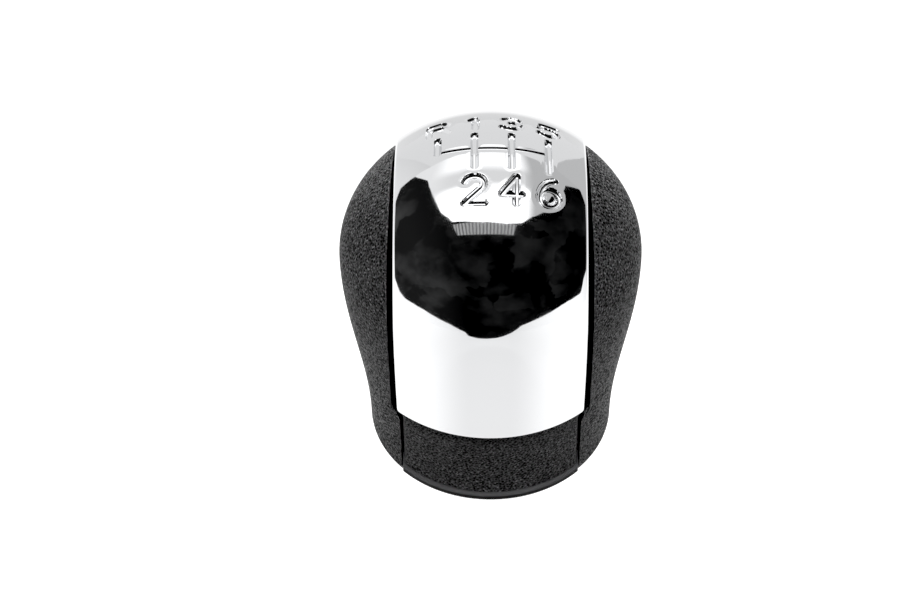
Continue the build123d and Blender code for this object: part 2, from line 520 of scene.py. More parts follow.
@dataclass(frozen=True)
class SatinPlastic:
    """Black plastic from a finely sparked mould, with a pale band of painted light along the top of the foot
    lip and a band of painted shade below it.
    """

    name: str = "satin_black_plastic"
    # The frame's own black, made darker as painted shade in its seams and under the strap.
    colour: Colour = (0.009, 0.009, 0.009)
    painted_lip_light: Colour = (0.066, 0.066, 0.068)
    painted_foot_shade: Colour = (0.004, 0.004, 0.004)
    lip_low: float = 0.0008
    lip_high: float = 0.00125
    roughness: float = 0.5
    roughness_spread: float = 0.16
    specular: float = 0.12

    def material(self) -> Material:
        """Makes the material, whose bands of tone follow the height above the table: painted shade below the
        lip and painted light on its top.
        """
        bench = new_bench(self.name)
        height = bench.between(bench.axis("Z"), 0.0, 1.0, 0.0, 2.0 * self.lip_high)
        low, high = 0.5 * self.lip_low / self.lip_high, 0.5
        # Painted shade below the lip's top, and painted light on it.
        bands = [(low, self.painted_foot_shade), (1.15 * low, self.painted_lip_light)]
        bands += [(high, self.painted_lip_light), (1.05 * high, self.colour)]
        worn = bench.between(bench.noise(700.0, 4.0), self.roughness, self.roughness + self.roughness_spread)
        bench.feed(Base_Color=bench.colours(height, bands), Roughness=worn)
        bench.surface(Specular_IOR_Level=self.specular)
        bench.bump([(bench.noise(5200.0, 2.0), 0.22, 0.00003), (bench.noise(60.0, 2.0), 0.05, 0.0004)])
        return bench.owner


@dataclass(frozen=True)
class TurnedSteel:
    """Bare steel with the fine rings of a lathe, or the straight marks of rolled strip."""

    name: str
    colour: Colour
    roughness: float
    stretch: Place = (1.0, 1.0, 26.0)
    shade: float = 0.72
    roughness_spread: float = 0.18

    def material(self) -> Material:
        """Makes the material."""
        bench = new_bench(self.name)
        marks = bench.noise(160.0, 5.0, bench.stretched(self.stretch))
        darker = tuple(self.shade * c for c in self.colour)
        worn = bench.between(marks, self.roughness, self.roughness + self.roughness_spread)
        bench.feed(Base_Color=bench.colours(marks, [(0.3, darker), (0.7, self.colour)]), Roughness=worn)
        bench.surface(Metallic=1.0)
        bench.bump([(marks, 0.15, 0.00003)])
        return bench.owner


@dataclass(frozen=True)
class StudioGlow:
    """An even glow, for a lit card, or one that shows through the slats of a louvre."""

    name: str
    strength: float
    slats: float = 0.0
    slat_share: float = 0.25

    def material(self) -> Material:
        """Makes the material."""
        bench = new_bench(self.name)
        bench.glow_only()
        bench.surface(Emission_Strength=self.strength)
        if self.slats:
            wave = bench.add("ShaderNodeTexWave", {"Scale": self.slats, "Distortion": 1.5, "Detail": 2.0})
            bench.join(bench.place(), wave.inputs["Vector"])
            dim = self.slat_share * self.strength
            bench.feed(Emission_Strength=bench.between(wave.outputs["Fac"], dim, self.strength, 0.1, 0.6))
        return bench.owner


@dataclass(frozen=True)
class CeilingGlow:
    """A cloth ceiling, brightest over the table, dim behind it and at the right, and bright further back."""

    height: float
    lamp: float = 2.4
    wall: float = 0.95
    back: float = 1.55
    far: float = 0.98
    right: float = 0.62
    left: float = 1.08

    def change(self, bench: NodeBench, axis: str, ends: Pair, low: float, high: float) -> NodeSocket:
        """A soft change from low to high along an axis, with its ends in shares of the ceiling's height."""
        return bench.between(bench.axis(axis), low, high, ends[0] * self.height, ends[1] * self.height, SOFT)

    def material(self) -> Material:
        """Makes the material."""
        bench = new_bench("ceiling_cloth")
        bench.glow_only()
        total = self.change(bench, "Y", (0.42, 0.60), self.lamp, self.wall)
        for ends, step in (((0.76, 1.0), self.back - self.wall), ((1.5, 2.3), self.far - self.back)):
            total = bench.sum(total, self.change(bench, "Y", ends, 0.0, step))
        for ends, level in (((0.28, 0.48), self.right), ((-0.36, -0.72), self.left)):
            mix = bench.add("ShaderNodeMix", {3: level}, data_type="FLOAT")
            bench.join(self.change(bench, "X", ends, 0.0, 1.0), mix.inputs[0])
            bench.join(total, mix.inputs[2])
            total = mix.outputs[0]
        bench.feed(Emission_Strength=total)
        return bench.owner


@dataclass(frozen=True)
class PaleTable:
    """The table's white sheet, lit from below: not under the knob, a painted contact shadow round its foot;
    more so at the sides, which leaves a painted shadow of the knob straight before it; and less behind.
    """

    colour: Colour = (0.06, 0.06, 0.06)
    paper_shade: float = 0.985
    glow: float = 1.06
    side_share: float = 1.36
    side_start: float = 0.2
    side_end: float = 0.8
    far_share: float = 0.78
    far_start: float = 0.125
    far_end: float = 0.2
    shade_start: float = 0.0223
    shade_end: float = 0.0231

    def sides(self, bench: NodeBench) -> NodeSocket:
        """How much brighter the light is beside the knob than before it."""
        return bench.by_turn(self.side_share, self.side_start, self.side_end)

    def material(self) -> Material:
        """Makes the material."""
        bench = new_bench("pale_table")
        paper = tuple(self.paper_shade * c for c in self.colour)
        bench.feed(Base_Color=bench.colours(bench.noise(35.0, 3.0), [(0.3, paper), (0.7, self.colour)]))
        bench.surface(Roughness=0.9, Specular_IOR_Level=0.1, Emission_Color=WHITE)
        # No glow under the knob and just round its foot: a painted contact shadow.
        glow = bench.between(bench.reach(), 0.0, self.glow, self.shade_start, self.shade_end, SOFT)
        far = bench.between(bench.axis("Y"), 1.0, self.far_share, self.far_start, self.far_end, SOFT)
        glow = bench.sum(glow, far, "MULTIPLY")
        # Brighter beside the knob, so the table straight before it stays darker as a painted shadow of the
        # knob.
        bench.feed(Emission_Strength=bench.sum(glow, self.sides(bench), "MULTIPLY"))
        return bench.owner


@dataclass(frozen=True)
class ScreenGlow:
    """A screen's white cloth, as bright as the table before it, and dimmer towards the back."""

    name: str
    rear_share: float
    rear_start: float
    rear_end: float
    table: PaleTable = PaleTable()

    def material(self) -> Material:
        """Makes the material."""
        bench = new_bench(self.name)
        bench.glow_only()
        glow = self.table.glow
        dim = self.rear_share * glow
        rear = bench.between(bench.axis("Y"), glow, dim, self.rear_start, self.rear_end, SOFT)
        bench.feed(Emission_Strength=bench.sum(rear, self.table.sides(bench), "MULTIPLY"))
        return bench.owner


def lay_grid(mesh: BMesh, across: Array, along: Array) -> tuple[list[BMVert], Array, Array]:
    """Adds a flat grid whose vertices know their column and row.

    Args:
        mesh: The mesh that gets the grid.
        across: The places of its columns.
        along: The places of its rows.

    Returns:
        The vertices, and the column and row of each.
    """
    columns, rows = len(across) - 1, len(along) - 1
    verts = bmesh.ops.create_grid(mesh, x_segments=columns, y_segments=rows, size=1.0)["verts"]
    flat = np.array([vert.co[:2] for vert in verts])
    steps = np.rint((flat + 1.0) / 2.0 * np.array([columns, rows])).astype(int)
    return verts, steps[:, 0], steps[:, 1]


def set_points(verts: list[BMVert], points: Array) -> None:
    """Moves vertices to their places."""
    for vert, point in zip(verts, points):
        vert.co = point


def rim_of(verts: list[BMVert]) -> dict[BMVert, int]:
    """The vertices on an open border, each with its seat in the list."""
    return {vert: seat for seat, vert in enumerate(verts) if vert.is_boundary}


def open_edges(mesh: BMesh) -> list[BMEdge]:
    """The edges that have a face on one side only."""
    return [edge for edge in mesh.edges if edge.is_boundary]


def pull_border(mesh: BMesh, border: dict[BMVert, int], points: Array) -> dict[BMVert, int]:
    """Extrudes an open border, as the next strip of a wall.

    Args:
        mesh: The mesh that has the border.
        border: The border's vertices, each with its seat in the list of points.
        points: The place of each seat's new vertex.

    Returns:
        The new border, with the same seats.
    """
    edges = [edge for edge in open_edges(mesh) if edge.verts[0] in border and edge.verts[1] in border]
    made = bmesh.ops.extrude_edge_only(mesh, edges=edges)["geom"]
    fresh: dict[BMVert, int] = {}
    for vert in (item for item in made if isinstance(item, BMVert)):
        mates = (edge.other_vert(vert) for edge in vert.link_edges)
        fresh[vert] = next(border[mate] for mate in mates if mate in border)
    for vert, seat in fresh.items():
        vert.co = points[seat]
    return fresh


def in_scene(name: str, data: ID) -> Object:
    """A new object in the scene, with its own data."""
    thing = bpy.data.objects.new(name, data)
    bpy.context.scene.collection.objects.link(thing)
    return thing


def as_object(mesh: BMesh, name: str, material: Material) -> Object:
    """Turns a mesh that is already in metres into an object.

    Args:
        mesh: The mesh, which is freed.
        name: The object's name.
        material: Its material.

    Returns:
        The object.
    """
    data = bpy.data.meshes.new(name)
    mesh.to_mesh(data)
    mesh.free()
    data.materials.append(material)
    return in_scene(name, data)


def finish_piece(
    mesh: BMesh,
    name: str,
    material: Material,
    crease_degrees: float,
    stands_for: tuple[str, ...] = (),
) -> Object:
    """Turns a mesh in millimetres into a piece of the knob.

    Args:
        mesh: The mesh, which is freed.
        name: The piece's name.
        material: Its material.
        crease_degrees: The angle past which an edge stays sharp.
        stands_for: The CAD nodes that it replaces.

    Returns:
        The object, riding on the knob's body.
    """
    bmesh.ops.recalc_face_normals(mesh, faces=mesh.faces)
    bmesh.ops.scale(mesh, vec=(MM, MM, MM), verts=mesh.verts)
    for face in mesh.faces:
        face.smooth = True
    limit = math.radians(crease_degrees)
    for edge in mesh.edges:
        edge.smooth = edge.is_manifold and edge.calc_face_angle(0.0) < limit
    piece = as_object(mesh, name, material)
    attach(piece, BODY)
    if stands_for:
        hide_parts(*stands_for)
    triangles = sum(len(polygon.vertices) - 2 for polygon in piece.data.polygons)
    LOG.info("%s: %d triangles, %s", name, triangles, material.name)
    return piece


def arc_line(centre: Pair, radii: Pair, start: float, end: float) -> Array:
    """Points round an ellipse, one row each, from one angle to another in degrees from the right."""
    turn = np.radians(np.linspace(start, end, max(6, int(abs(end - start) / 12))))
    return in_rows(centre[0] + radii[0] * np.cos(turn), centre[1] + radii[1] * np.sin(turn))


def straight_line(*points: Pair) -> Array:
    """A run of straight strokes from point to point, one row each."""
    return np.array(points, float)


@dataclass(frozen=True)
class ShiftPattern:
    """The six-speed gate and its numerals, engraved with soft shoulders across the crown."""

    shift: float = 0.45
    column_pitch: float = 6.56
    gate_place: float = 3.75
    gate_reach: float = 4.55
    numeral_width: float = 3.5
    upper_place: float = 13.05
    upper_height: float = 4.9
    lower_place: float = -6.1
    lower_height: float = 5.9
    half_width: float = 0.66
    cross_half_width: float = 0.36
    depth: float = 0.62
    roundness: float = 0.55
    shoulder: float = 0.9
    shoulder_drop: float = 0.05

    def numerals(self) -> dict[str, list[Array]]:
        """The strokes of each numeral, in a box that is one wide and one tall about its middle."""
        line, arc = straight_line, arc_line
        two = [arc((0.0, 0.21), (0.48, 0.29), 165, -38), line((-0.5, -0.5), (0.5, -0.5))]
        five = [line((0.42, 0.5), (-0.34, 0.5), (-0.4, 0.08)), arc((-0.02, -0.17), (0.48, 0.33), 128, -150)]
        stem, bowl = line((-0.44, -0.5), (-0.44, 0.5)), arc((0.08, 0.25), (0.38, 0.25), 90, -90)
        three = [arc((-0.03, 0.255), (0.44, 0.245), 155, -90)]
        three += [arc((-0.03, -0.245), (0.5, 0.255), 90, -155)]
        return {
            "1": [line((-0.24, 0.30), (0.04, 0.5), (0.04, -0.5))],
            "2": [np.concatenate(two)],
            "3": three,
            "4": [line((0.24, -0.5), (0.24, 0.5), (-0.5, -0.17), (0.5, -0.17))],
            "5": [np.concatenate(five)],
            "6": [arc((0.0, -0.19), (0.46, 0.31), 0, 360), arc((0.40, -0.19), (0.86, 0.69), 180, 98)],
            "R": [np.concatenate([stem, bowl, line((-0.44, 0.0))]), line((0.04, 0.0), (0.48, -0.5))],
        }

    def strokes(self) -> list[tuple[Array, float]]:
        """Every stroke on the laid-out crown, as a run of points and half its width."""
        columns = [self.shift + self.column_pitch * k for k in (-1.5, -0.5, 0.5, 1.5)]
        middle = self.gate_place
        top, foot = middle + self.gate_reach, middle - self.gate_reach
        strokes = [(straight_line((columns[0], middle), (columns[3], middle)), self.cross_half_width)]
        runs = [straight_line((columns[0], middle), (columns[0], top))]
        runs += [straight_line((column, foot), (column, top)) for column in columns[1:]]
        shapes = self.numerals()
        rows = (("R135", self.upper_place, self.upper_height), (" 246", self.lower_place, self.lower_height))
        for letters, row, height in rows:
            box = np.array([self.numeral_width, height])
            for letter, column in zip(letters, columns):
                runs += [run * box + np.array([column, row]) for run in shapes.get(letter, [])]
        return strokes + [(run, self.half_width) for run in runs]

    def depth_at(self, x: Array, arc: Array) -> Array:
        """How deep the engraving is: round-bottomed channels in a shallow dish.

        Args:
            x: The distance of each point from the middle.
            arc: Its arc from the crown, positive towards the rear.

        Returns:
            The depth at each point.
        """
        outside, channel = np.full(x.shape, FAR), np.zeros(x.shape)
        for run, half in self.strokes():
            nearest = np.full(x.shape, FAR)
            for (ax, ay), (bx, by) in zip(run[:-1], run[1:]):
                dx, dy = bx - ax, by - ay
                along = ((x - ax) * dx + (arc - ay) * dy) / max(dx * dx + dy * dy, TINY)
                along = np.clip(along, 0.0, 1.0)
                nearest = np.minimum(nearest, np.hypot(x - ax - along * dx, arc - ay - along * dy))
            outside = np.minimum(outside, nearest - half)
            share = np.clip(1.0 - (nearest / half) ** 2, 0.0, 1.0)
            channel = np.maximum(channel, self.depth * (half / self.half_width) * share**self.roundness)
        return channel + self.shoulder_drop * ease(1.0 - outside / self.shoulder)


@dataclass
class StrapCover:
    """The chrome strap that runs from the front of the neck, over the crown and down behind."""

    form: KnobForm
    pattern: ShiftPattern = field(default_factory=ShiftPattern)
    finish: PolishedChrome = field(default_factory=PolishedChrome)
    half_width: float = 17.2
    proud: float = 0.77
    thickness: float = 2.0
    front_height: float = 20.3
    rear_height: float = 44.0
    corner: float = 0.5
    edge_round: float = 0.5
    edge_steps: int = 8
    engraved_half: float = 13.2
    engraved_front: float = -11.6
    engraved_rear: float = 17.6
    engraved_step: float = 0.125
    plain_step: float = 0.85
    lining_margin: float = 0.6
    lining_columns: int = 29
    lining_rows: int = 81
    crease: float = 50.0

    def arc_limits(self) -> tuple[float, float]:
        """The arcs from the crown at which the strap starts in front and ends behind."""
        arc, march = self.form.lane_ruler(-self.proud)
        crown = self.form.dome_height + self.proud
        rear = 2.0 - math.asin((self.rear_height - self.form.head_height) / crown) / math.pi
        return tuple(np.interp([self.front_height / self.form.head_height, rear], march, arc))

    def places(self, start: float, fine_start: float, fine_end: float, end: float) -> Array:
        """Places across or along the strap, crowded at its edges and over the engraving.

        Args:
            start: The first border.
            fine_start: Where the engraving starts.
            fine_end: Where the engraving ends.
            end: The last border.

        Returns:
            The places, in order.
        """
        turn = np.linspace(0.0, math.pi / 2, self.edge_steps)
        rim = self.edge_round * (1.0 - np.cos(turn))
        stations = [start + rim[-1], fine_start, fine_end, end - rim[-1]]
        steps = (self.plain_step, self.engraved_step, self.plain_step)
        runs = [start + rim]
        for low, high, step in zip(stations[:-1], stations[1:], steps):
            runs.append(np.linspace(low, high, max(2, round((high - low) / step)) + 1)[1:])
        return np.concatenate([*runs, (end - rim[::-1])[1:]])

    def rounded(self, x: Array, arc: Array, margin: float = 0.0) -> tuple[Array, Array, Array]:
        """Rounds the corners of the strap's outline.

        Args:
            x: The distance of each point from the middle.
            arc: Its arc from the crown.
            margin: How far the outline lies inside the strap's own.

        Returns:
            The points' new x and arc, and how far each is from the border.
        """
        front, rear = self.arc_limits()
        half, middle, reach = self.half_width - margin, (front + rear) / 2, (rear - front) / 2 - margin
        across, along = np.abs(x) - (half - self.corner), np.abs(arc - middle) - (reach - self.corner)
        in_corner = (across > 0) & (along > 0)
        pull = np.maximum(across, along) / np.maximum(np.hypot(across, along), TINY)
        scale = np.where(in_corner, pull, 1.0)
        across, along = np.where(in_corner, across * scale, across), np.where(in_corner, along * scale, along)
        straight = np.minimum(self.corner - across, self.corner - along)
        border = np.where(in_corner, self.corner - np.hypot(across, along), straight)
        x = np.where(in_corner, np.sign(x) * (half - self.corner + across), x)
        arc = np.where(in_corner, middle + np.sign(arc - middle) * (reach - self.corner + along), arc)
        return x, arc, np.maximum(border, 0.0)

    def points(self, x: Array, arc: Array, inset: Array | float) -> Array:
        """The points of the strap at laid-out places and an inset."""
        ruler, march = self.form.lane_ruler(-self.proud)
        return self.form.lane_points(x, np.interp(arc, ruler, march), inset)

    def build(self) -> Object:
        """Lays the strap's face, engraves it, turns down its edges and lines it behind."""
        front, rear = self.arc_limits()
        across = self.places(-self.half_width, -self.engraved_half, self.engraved_half, self.half_width)
        along = self.places(front, self.engraved_front, self.engraved_rear, rear)
        mesh = bmesh.new()
        verts, column, row = lay_grid(mesh, across, along)
        x, arc, border = self.rounded(across[column], along[row])
        inset = quarter_round(border, self.edge_round) - self.proud + self.pattern.depth_at(x, arc)
        set_points(verts, self.points(x, arc, inset))
        lining = self.thickness - self.proud
        pull_border(mesh, rim_of(verts), self.points(x, arc, lining))
        half, margin = self.half_width - self.lining_margin, self.lining_margin
        across = np.linspace(-half, half, self.lining_columns)
        along = np.linspace(front + margin, rear - margin, self.lining_rows)
        verts, column, row = lay_grid(mesh, across, along)
        x, arc, _ = self.rounded(across[column], along[row], margin)
        set_points(verts, self.points(x, arc, lining))
        bmesh.ops.bridge_loops(mesh, edges=open_edges(mesh))
        material = self.finish.material()
        return finish_piece(mesh, "engraved_chrome_strap", material, self.crease, ("chrome_cover",))


@dataclass
class GripShell:
    """One leather-grained half of the grip, stepped in where it passes the chrome strap."""

    form: KnobForm
    side: Side
    grain: LeatherGrain
    finish: GrainedPlastic
    seam_half: float = 16.7
    rebate_front: float = 18.25
    rebate_rear: float = 17.3
    lip_half: float = 15.05
    jog_height: float = 3.0
    front_jog: float = 15.3
    rear_jog: float = 41.275
    front_lip: float = 19.5
    rear_lip: float = 43.2
    lip_rise: float = 0.8
    edge_round: float = 0.35
    lip_inset: float = 1.4
    lip_step: float = 0.15
    wall: float = 2.5
    top_turn: float = 45.0
    width: float = 42.0
    height: float = 62.0
    columns: int = 232
    rows: int = 370
    edge_steps: int = 6
    edge_reach: int = 22
    batch: int = 400
    jog_steps: int = 401
    border_steps: int = 1601
    lining_steps: int = 41
    lining_margin: float = 0.02
    lining_share: float = 0.93
    smooth_edge: float = 0.15
    grain_fade: float = 0.45
    crease: float = 75.0

    def rebate(self, face: Face) -> float:
        """The x of the border beside the strap, in front or behind."""
        return self.rebate_front if face is Face.FRONT else self.rebate_rear

    def border_x(self, z: Array, face: Face) -> Array:
        """The x of the front or rear border at each height, eased from the seam out to the rebate."""
        t = np.linspace(0.0, 1.0, self.jog_steps)
        jog = self.front_jog if face is Face.FRONT else self.rear_jog
        height = jog + self.jog_height * (1.5 * t * (1 - t) + t**3)
        step = self.rebate(face) - self.seam_half
        return np.interp(z, height, self.seam_half + step * (3 * t**2 - 2 * t**3))

    def lip_x(self, z: Array, face: Face) -> Array:
        """The x of the lip that passes under the strap, or of the seam below it."""
        low = self.front_lip if face is Face.FRONT else self.rear_lip
        return self.seam_half + (self.lip_half - self.seam_half) * ease((z - low) / self.lip_rise)

    def top_height(self, face: Face) -> float:
        """The height at which an upright border ends and the arch over the top begins."""
        narrow = math.sqrt(1.0 - (self.rebate(face) / self.form.head_radius) ** 2)
        return self.form.head_height + self.form.dome_height * narrow * math.sin(math.radians(self.top_turn))

    def upright(self, face: Face) -> Array:
        """The front or rear border, from the foot up, as y and z evenly spaced along it."""
        z = np.linspace(0.0, self.top_height(face), self.border_steps)
        x = self.border_x(z, face)
        line = in_rows(face.value * np.sqrt(self.form.radius_at(z) ** 2 - x * x), z)
        arc = run_length(line)
        return points_along(line, arc, np.linspace(0.0, arc[-1], self.border_steps))

    def arch(self, turn: Array, lip: bool = False, inset: float = 0.0) -> Array:
        """The border over the top.

        Args:
            turn: The turn of each point over the top, from the front.
            lip: Whether the points lie on the lip under the strap, or on the border that closes in on it.
            inset: How far the points lie inside the outer form.

        Returns:
            The points, one row each.
        """
        low = math.radians(self.top_turn)
        ends = (self.lip_half, self.lip_half) if lip else (self.rebate_front, self.rebate_rear)
        x = np.interp(turn, [low, math.pi - low], ends)
        return in_rows(x, *self.form.dome_points(x, turn, inset))

    def spread(self, u: Array, v: Array) -> tuple[Array, Array, Array]:
        """Spreads a square grid over the shell's outline.

        Args:
            u: The way from the front border to the rear one, from 0 to 1.
            v: The way from the foot to the arch, from 0 to 1.

        Returns:
            The y and z of each point, and its turn over the arch.
        """
        front, rear = self.upright(Face.FRONT), self.upright(Face.REAR)
        ruler = np.linspace(0.0, 1.0, len(front))
        low = math.radians(self.top_turn)
        turn = low + u * (math.pi - 2 * low)
        u2, v2 = u[:, None], v[:, None]
        foot = (1 - u2) * front[0] + u2 * rear[0]
        sides = (1 - u2) * points_along(front, ruler, v) + u2 * points_along(rear, ruler, v)
        ends = (1 - v2) * foot + v2 * self.arch(turn)[:, 1:]
        front_corners = (1 - v2) * front[0] + v2 * front[-1]
        rear_corners = (1 - v2) * rear[0] + v2 * rear[-1]
        flat = sides + ends - ((1 - u2) * front_corners + u2 * rear_corners)
        return flat[:, 0], flat[:, 1], turn

    def lifted(self, y: Array, z: Array, inset: Array | float) -> Array:
        """The points of a wall of the shell over each y and z."""
        return in_rows(safe_root(self.form.radius_at(z, inset) ** 2 - y * y), y, z)

    def rim_points(
        self, column: Array, row: Array, flat: tuple[Array, ...], lip: bool, inset: float
    ) -> Array:
        """The border's points on a deeper wall.

        Args:
            column: The column of each grid point.
            row: The row of each grid point.
            flat: The y, z and turn of each grid point.
            lip: Whether the points lie on the lip under the strap, or under the border itself.
            inset: How far the wall lies inside the outer form.

        Returns:
            A point for each grid point, right for those on the border.
        """
        y, z, turn = flat
        base = self.form.base_radius
        points = in_rows(safe_root(base**2 - y * y), y, np.zeros_like(y))
        points *= (base - inset) / base
        for face, place in ((Face.FRONT, column == 0), (Face.REAR, column == column.max())):
            x = self.lip_x(z, face) if lip else self.border_x(z, face)
            depth = face.value * safe_root(self.form.radius_at(z, inset) ** 2 - x * x)
            points = np.where(place[:, None], in_rows(x, depth, z), points)
        return np.where((row == row.max())[:, None], self.arch(turn, lip, inset), points)

    def border_distance(self, points: Array, column: Array, row: Array) -> Array:
        """How far each point is from the shell's border, for those near it.

        Args:
            points: The points on the outer form.
            column: The column of each.
            row: The row of each.

        Returns:
            The distance of each point, and a large one for those far from the border.
        """
        depth = np.minimum.reduce([column, column.max() - column, row, row.max() - row])
        edge = points[depth == 0]
        step = self.nearest_next(edge) - edge
        after = np.concatenate([edge + share * step for share in (0.0, 0.25, 0.5, 0.75)])
        far = np.full(len(points), FAR)
        near = np.flatnonzero(depth < self.edge_reach)
        for part in np.array_split(near, max(1, len(near) // self.batch)):
            gaps = np.linalg.norm(points[part][:, None, :] - after[None, :, :], axis=2)
            far[part] = gaps.min(axis=1)
        far[depth == 0] = 0.0
        return far

    @staticmethod
    def border_mates(column: Array, row: Array) -> Array:
        """For each grid point, the seat of the border point straight across from it."""
        seats = np.zeros((column.max() + 1, row.max() + 1), dtype=int)
        seats[column, row] = np.arange(len(column))
        nearest = np.stack([column, column.max() - column, row, row.max() - row]).argmin(axis=0)
        mate_column = np.where(nearest == 0, 0, np.where(nearest == 1, column.max(), column))
        mate_row = np.where(nearest == 2, 0, np.where(nearest == 3, row.max(), row))
        return seats[mate_column, mate_row]

    @staticmethod
    def nearest_next(edge: Array) -> Array:
        """For each border point, a neighbour of it along the border."""
        gaps = np.linalg.norm(edge[:, None, :] - edge[None, :, :], axis=2)
        np.fill_diagonal(gaps, FAR)
        return edge[gaps.argmin(axis=1)]

    def build(self) -> Object:
        """Spreads the outer wall, grains it, turns its border in under the strap with painted shade on those
        walls, and lines it.
        """
        across = graded(1.0, self.columns, self.edge_round / self.width, self.edge_steps)
        along = graded(1.0, self.rows, self.edge_round / self.height, self.edge_steps)
        mesh = bmesh.new()
        pit_and_shade_layer = mesh.verts.layers.float.new(PIT_AND_SHADE)
        verts, column, row = lay_grid(mesh, across, along)
        flat = self.spread(across[column], along[row])
        smooth = self.lifted(flat[0], flat[1], 0.0)
        border = self.border_distance(smooth, column, row)
        pits = self.grain.pits_at(smooth) * ease((border - self.smooth_edge) / self.grain_fade)
        turned = self.rim_points(column, row, flat, False, self.edge_round) - smooth
        drop = quarter_round(border, self.edge_round) / self.edge_round
        points = self.lifted(flat[0], flat[1], self.grain.depth * pits)
        set_points(verts, points + drop[:, None] * turned[self.border_mates(column, row)])
        for vert, pit in zip(verts, pits):
            vert[pit_and_shade_layer] = pit
        rim = rim_of(verts)
        steps = [(False, self.lip_inset), (True, self.lip_inset + self.lip_step), (True, self.wall)]
        for lip, depth in steps:
            rim = pull_border(mesh, rim, self.rim_points(column, row, flat, lip, depth))
            # Full pit value on the turned-in walls, so they take the pit colour: painted shade in the gap
            # beside the strap.
            for vert in rim:
                vert[pit_and_shade_layer] = 1.0
        self.line(mesh)
        if self.side is Side.LEFT:
            bmesh.ops.scale(mesh, vec=(-1.0, 1.0, 1.0), verts=mesh.verts)
        name = f"{self.side.name.lower()}_grip"
        return finish_piece(mesh, name, self.finish.material(), self.crease, (f"{name}_shell",))

    def line(self, mesh: BMesh) -> None:
        """Closes the shell with a coarse inner wall, and joins the two."""
        places = np.linspace(self.lining_margin, 1.0 - self.lining_margin, self.lining_steps)
        verts, column, row = lay_grid(mesh, places, places)
        y, z, _ = self.spread(places[column], places[row])
        set_points(verts, self.lifted(y * self.lining_share, z, self.wall))
        bmesh.ops.bridge_loops(mesh, edges=open_edges(mesh))


@dataclass
class PanelSkin:
    """The grained face of the middle frame, in front below the strap or behind."""

    form: KnobForm
    face: Face
    grain: LeatherGrain
    finish: GrainedPlastic
    top: float
    foot: float = 1.3
    half_width: float = 16.2
    recess: float = 0.6
    lift: float = 0.15
    edge_round: float = 0.15
    edge_steps: int = 3
    step: float = 0.17
    across_share: float = 1.1
    smooth_edge: float = 0.1
    grain_fade: float = 0.5
    back_clearance: float = 0.01
    back_margin: float = 0.4
    back_columns: int = 33
    back_rows: int = 41
    crease: float = 75.0

    def points(self, x: Array, z: Array, inset: Array | float) -> Array:
        """Points of the panel at each x and z."""
        return in_rows(x, self.face.value * np.sqrt((self.form.radius_at(z, inset)) ** 2 - x * x), z)

    def build(self) -> Object:
        """Lays the grained skin over the panel and closes it behind."""
        width, height = 2 * self.half_width, self.top - self.foot
        columns, rows = round(self.across_share * width / self.step), round(height / self.step)
        across = graded(width, columns, self.edge_round, self.edge_steps) - self.half_width
        along = graded(height, rows, self.edge_round, self.edge_steps) + self.foot
        mesh = bmesh.new()
        pit_and_shade_layer = mesh.verts.layers.float.new(PIT_AND_SHADE)
        verts, column, row = lay_grid(mesh, across, along)
        x, z = across[column], along[row]
        border = np.minimum(self.half_width - np.abs(x), np.minimum(z - self.foot, self.top - z))
        base = self.recess - self.lift
        pits = self.grain.pits_at(self.points(x, z, base))
        pits = pits * ease((border - self.smooth_edge) / self.grain_fade)
        inset = base + quarter_round(border, self.edge_round) + self.grain.depth * pits
        set_points(verts, self.points(x, z, inset))
        for vert, pit in zip(verts, pits):
            vert[pit_and_shade_layer] = pit
        back, margin = self.recess - self.back_clearance, self.back_margin
        pull_border(mesh, rim_of(verts), self.points(x, z, back))
        across = np.linspace(margin - self.half_width, self.half_width - margin, self.back_columns)
        along = np.linspace(self.foot + margin, self.top - margin, self.back_rows)
        verts, column, row = lay_grid(mesh, across, along)
        set_points(verts, self.points(across[column], along[row], back))
        bmesh.ops.bridge_loops(mesh, edges=open_edges(mesh))
        name = f"{self.face.name.lower()}_panel_skin"
        return finish_piece(mesh, name, self.finish.material(), self.crease)


@dataclass
class InnerParts:
    """The parts that keep their CAD shape: the frame, the foot plate, and the metal inside."""

    nodes: dict[str, Object]

    def dress(self) -> None:
        """Gives each part its finish."""
        finishes: dict[str, SatinPlastic | TurnedSteel] = {
            "center_frame": SatinPlastic(),
            "base_plate": SatinPlastic("plain_black_plate", (0.03, 0.03, 0.031)),
            "base_screws": TurnedSteel("blackened_screw", (0.16, 0.16, 0.17), 0.34, (1.0, 1.0, 1.0)),
            "lever_sleeve": TurnedSteel("turned_sleeve", (0.58, 0.57, 0.55), 0.26),
            "retaining_clip": TurnedSteel("spring_strip", (0.30, 0.32, 0.36), 0.30, (1.0, 1.0, 9.0)),
        }
        for name, finish in finishes.items():
            node = self.nodes[name]
            material = finish.material()
            node.data.materials.clear()
            node.data.materials.append(material)
            LOG.info("%s: CAD shape, %s", name, material.name)


